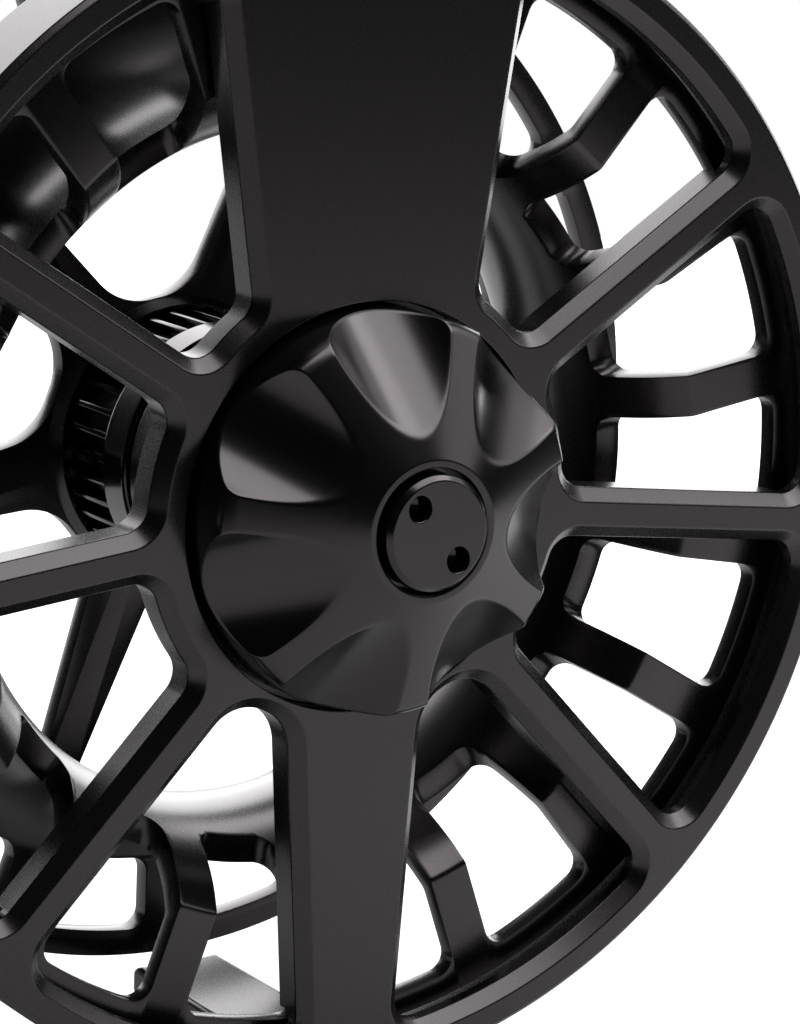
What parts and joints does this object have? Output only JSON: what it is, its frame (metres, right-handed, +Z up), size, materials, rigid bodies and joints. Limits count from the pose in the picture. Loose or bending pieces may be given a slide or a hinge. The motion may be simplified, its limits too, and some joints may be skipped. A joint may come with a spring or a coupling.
{
  "type": "fly reel",
  "caption": "Black anodised large-arbor fly reel with an open bevelled frame, a conical scalloped drag knob, a ported spool that slides off its splined hub, and a crank handle.",
  "frame": {"origin": "centre of the rod side of the foot, where it lies against the rod's reel seat", "axes": "+X runs along the rod, +Z is up through the foot to the rod, -Y faces the drag knob side"},
  "size_m": [0.1016, 0.0677, 0.1117],
  "materials": {
    "black_frame": "satin black anodised",
    "black_knob": "satin black anodised",
    "black_cap": "semi-gloss black anodised",
    "black_spool": "satin black anodised",
    "dark_metal": "black anodised, turned",
    "steel": "turned stainless steel",
    "bronze": "sintered bronze",
    "seal_rubber": "moulded black rubber",
    "grip_plastic": "matt black moulded"
  },
  "bodies": {
    "frame": {"frame": "black_frame", "reel_foot": "black_frame", "foot_screws": "steel", "housing_cover": "dark_metal", "stem_seal": "seal_rubber", "bearing_outer": "steel", "pawl_pin": "steel", "pawl_spring": "steel"},
    "pawl": {"click_pawl": "steel"},
    "knob": {"drag_knob": "black_knob", "knob_stem": "steel", "knob_cap": "black_cap"},
    "nut": {"drag_nut": "bronze", "drag_spring": "steel", "female_cone": "bronze"},
    "spindle": {"spindle": "steel", "male_cone": "dark_metal", "bearing_inner": "steel", "bearing_balls": "steel", "spindle_clip": "steel"},
    "hub": {"drive_hub": "dark_metal", "click_gear": "steel", "clutch_cup": "steel", "clutch_rollers": "steel", "hub_bush": "bronze", "spool_o_ring": "seal_rubber"},
    "spool": {"spool_rear_flange": "black_spool", "spool_arms": "black_spool", "spool_arbor": "black_spool", "spool_front_flange": "black_spool", "spool_spokes": "black_spool", "spool_cap": "black_cap", "counterweight": "dark_metal", "counterweight_screw": "steel", "handle_post": "steel", "handle_washer": "steel"},
    "handle": {"handle_grip": "grip_plastic", "handle_bush": "bronze"}
  },
  "joints": [
    {"name": "drag_knob_turn", "type": "hinge", "parent": "frame", "child": "knob", "pos_m": [0, 0, -0.0595], "axis": [0, 1, 0], "range_deg": [0, 340]},
    {"name": "drag_nut_travel", "type": "slide", "parent": "frame", "child": "nut", "axis": [0, 1, 0], "range_m": [0, 0.0005]},
    {"name": "drag_slip", "type": "hinge", "parent": "frame", "child": "spindle", "pos_m": [0, 0, -0.0595], "axis": [0, 1, 0], "continuous": true},
    {"name": "spool_spin", "type": "hinge", "parent": "spindle", "child": "hub", "pos_m": [0, 0, -0.0595], "axis": [0, 1, 0], "continuous": true},
    {"name": "spool_release", "type": "slide", "parent": "hub", "child": "spool", "axis": [0, 1, 0], "range_m": [0, 0.045]},
    {"name": "handle_spin", "type": "hinge", "parent": "spool", "child": "handle", "pos_m": [0.04185, 0.0282, -0.06688], "axis": [0, 1, 0], "continuous": true},
    {"name": "pawl_lift", "type": "hinge", "parent": "frame", "child": "pawl", "pos_m": [-0.0034, 0.002, -0.0682], "axis": [0, 1, 0], "range_deg": [0, 12], "stiffness_Nm_per_rad": 0.002}
  ],
  "couplings": [
    {"joint": "drag_knob_turn", "follows": "drag_nut_travel", "rad_per_m": 11868}
  ]
}
